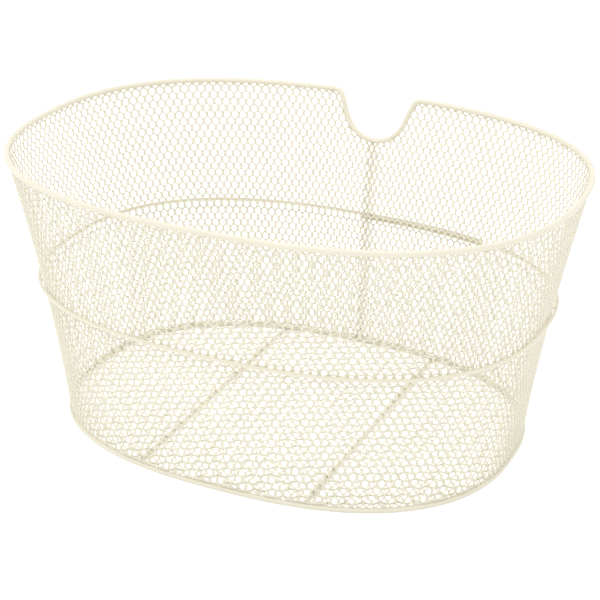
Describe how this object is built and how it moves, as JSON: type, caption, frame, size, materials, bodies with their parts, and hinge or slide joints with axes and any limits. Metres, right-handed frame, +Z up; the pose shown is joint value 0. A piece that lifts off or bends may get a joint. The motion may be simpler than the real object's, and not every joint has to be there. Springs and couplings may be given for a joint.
{
  "type": "handlebar bicycle basket",
  "caption": "Tapered oval bicycle basket of cream-coated honeycomb steel mesh on wire hoops, with a U-shaped notch at the back that clears the handlebar stem.",
  "frame": {"origin": "on the ground, below the middle of the basket", "axes": "+Z up, +X along the length of the oval, +Y to the back with the stem notch, towards the handlebar"},
  "size_m": [0.3998, 0.2912, 0.1965],
  "materials": {
    "wire_coat": "satin cream powder coat on round steel wire",
    "mesh_coat": "satin cream powder coat on expanded steel mesh"
  },
  "bodies": {
    "root": {"rim_wire": "wire_coat", "middle_hoop": "wire_coat", "base_ring": "wire_coat", "base_cross_wire_left": "wire_coat", "base_cross_wire_right": "wire_coat", "wall_mesh": "mesh_coat", "base_mesh": "mesh_coat"}
  },
  "joints": []
}
